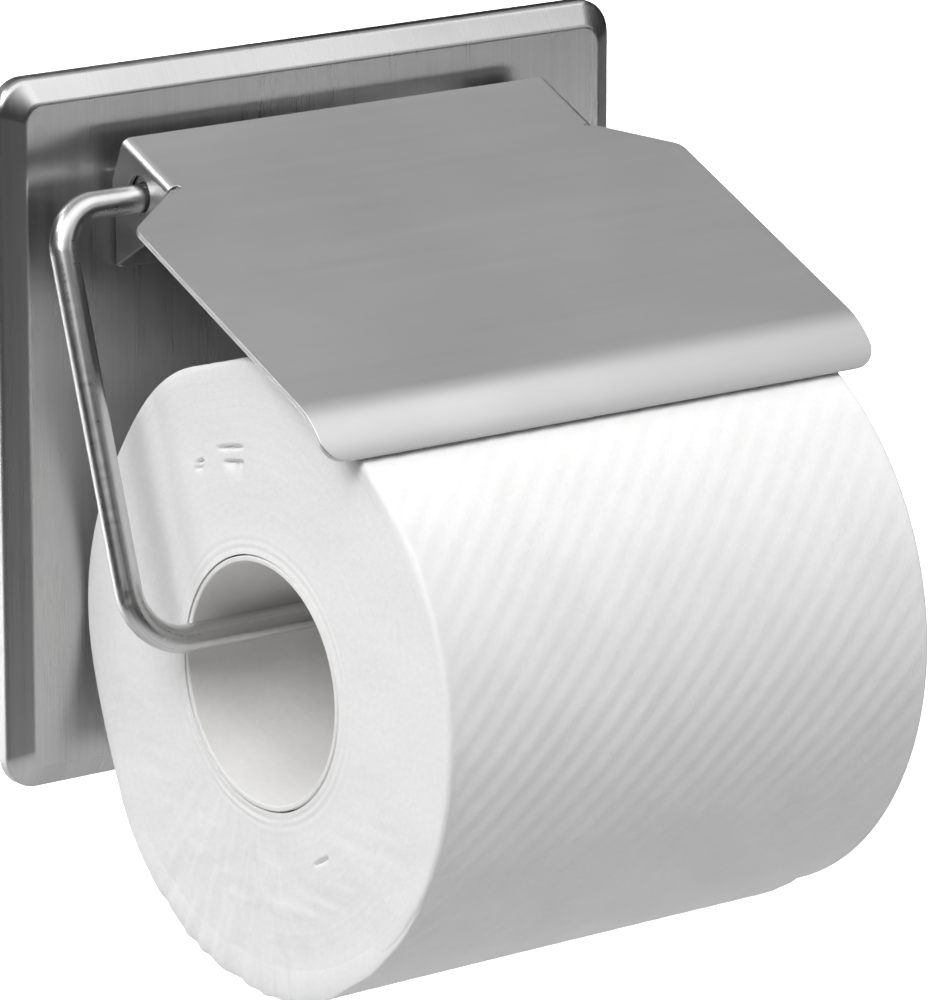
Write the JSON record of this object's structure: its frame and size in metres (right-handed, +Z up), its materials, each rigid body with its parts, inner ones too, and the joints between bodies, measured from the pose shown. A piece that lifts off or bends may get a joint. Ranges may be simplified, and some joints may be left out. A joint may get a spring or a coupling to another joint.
{
  "type": "toilet paper holder",
  "caption": "Wall-mounted steel toilet paper holder with a swinging wire bail, a hinged sheet cover with a rounded lip, and a loaded paper roll.",
  "frame": {"origin": "centre of the wall face, behind the middle of the back plate", "axes": "+Y points into the wall, +Z is up, +X runs along the wall to the viewer's right, and the cover and roll face -Y"},
  "size_m": [0.1376, 0.1139, 0.1536],
  "materials": {
    "plate_steel": "half-polished stainless steel with upright brushing",
    "pad_board": "matt grey packing board",
    "bracket_steel": "half-polished stainless steel strip",
    "screw_steel": "plain bright steel",
    "wire_steel": "polished drawn stainless wire",
    "cover_steel": "satin stainless sheet with fine crosswise grain",
    "core_board": "plain pale cardboard",
    "tissue": "white embossed tissue, wound"
  },
  "bodies": {
    "wall_side": {"back_plate": "plate_steel", "wall_pad": "pad_board", "hinge_bracket": "bracket_steel", "wall_screw_upper_left": "screw_steel", "wall_screw_upper_right": "screw_steel", "wall_screw_lower_left": "screw_steel", "wall_screw_lower_right": "screw_steel"},
    "bail": {"roll_bail": "wire_steel", "axle_cap": "screw_steel"},
    "cover": {"cover": "cover_steel"},
    "roll": {"roll_core": "core_board", "paper_roll": "tissue"}
  },
  "joints": [
    {"name": "bail_swing", "type": "hinge", "parent": "wall_side", "child": "bail", "pos_m": [0, -0.0156, 0.0437], "axis": [-1, 0, 0], "range_deg": [0, 12]},
    {"name": "cover_lift", "type": "hinge", "parent": "bail", "child": "cover", "pos_m": [0, -0.0156, 0.0437], "axis": [-1, 0, 0], "range_deg": [0, 25]},
    {"name": "roll_spin", "type": "hinge", "parent": "bail", "child": "roll", "pos_m": [0, -0.0597, -0.0344], "axis": [1, 0, 0], "continuous": true}
  ]
}
